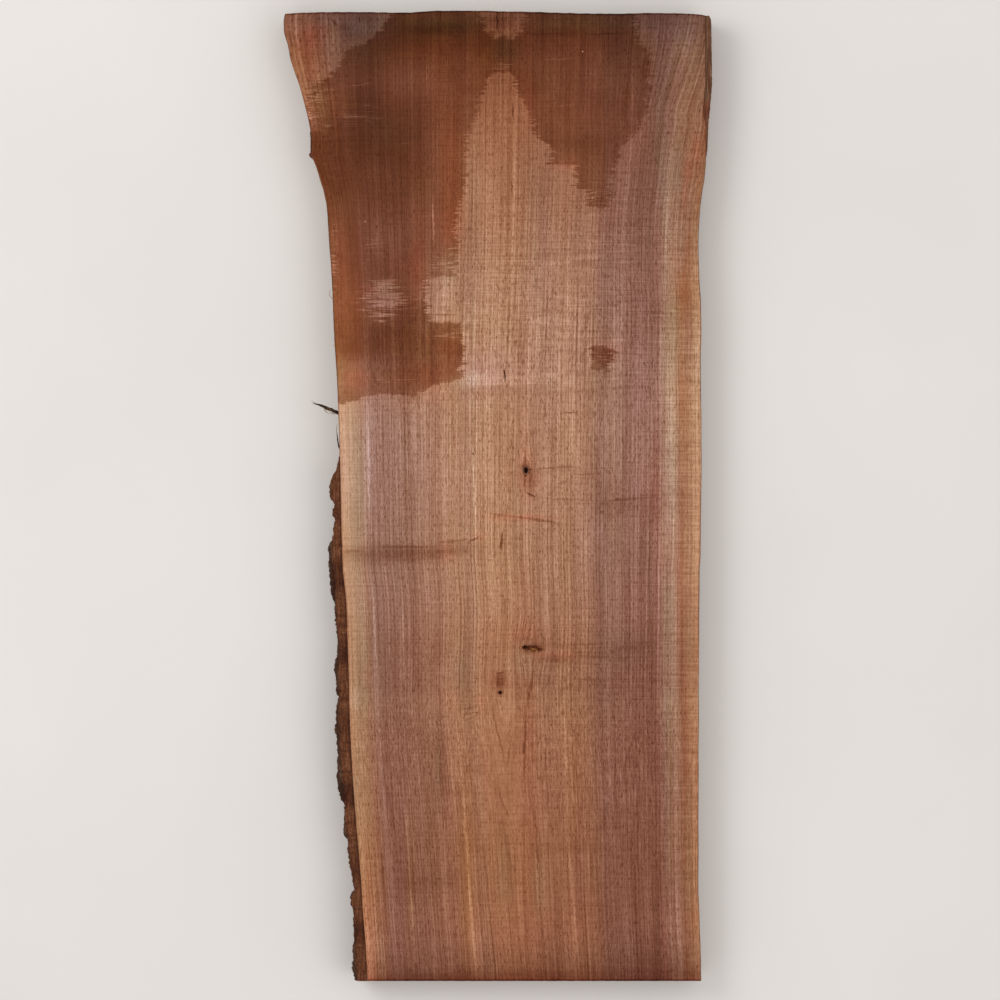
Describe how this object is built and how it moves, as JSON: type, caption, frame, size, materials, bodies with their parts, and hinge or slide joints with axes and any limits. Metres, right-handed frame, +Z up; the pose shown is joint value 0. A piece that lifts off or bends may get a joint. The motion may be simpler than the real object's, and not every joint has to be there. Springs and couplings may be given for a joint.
{
  "type": "live-edge walnut slab",
  "caption": "Wide live-edge walnut slab, rough sawn on both faces and both ends, with strips of bark left on its natural edges.",
  "frame": {"origin": "middle of the underside, which is the sawn back face the slab lies on", "axes": "+Z up, out of the pictured front face; +Y along the grain towards the wide butt end; +X towards the edge with little bark"},
  "size_m": [0.5411, 1.223, 0.054],
  "materials": {
    "walnut_wood": "rough band-sawn, air-dried black walnut",
    "walnut_bark": "dry furrowed outer bark",
    "walnut_bast": "dry fibrous inner bark"
  },
  "bodies": {
    "root": {"slab": "walnut_wood", "bark_left": "walnut_bark", "bark_right": "walnut_bast", "bark_chip": "walnut_bast", "bast_splinter": "walnut_bast", "bast_sliver": "walnut_bast"}
  },
  "joints": []
}
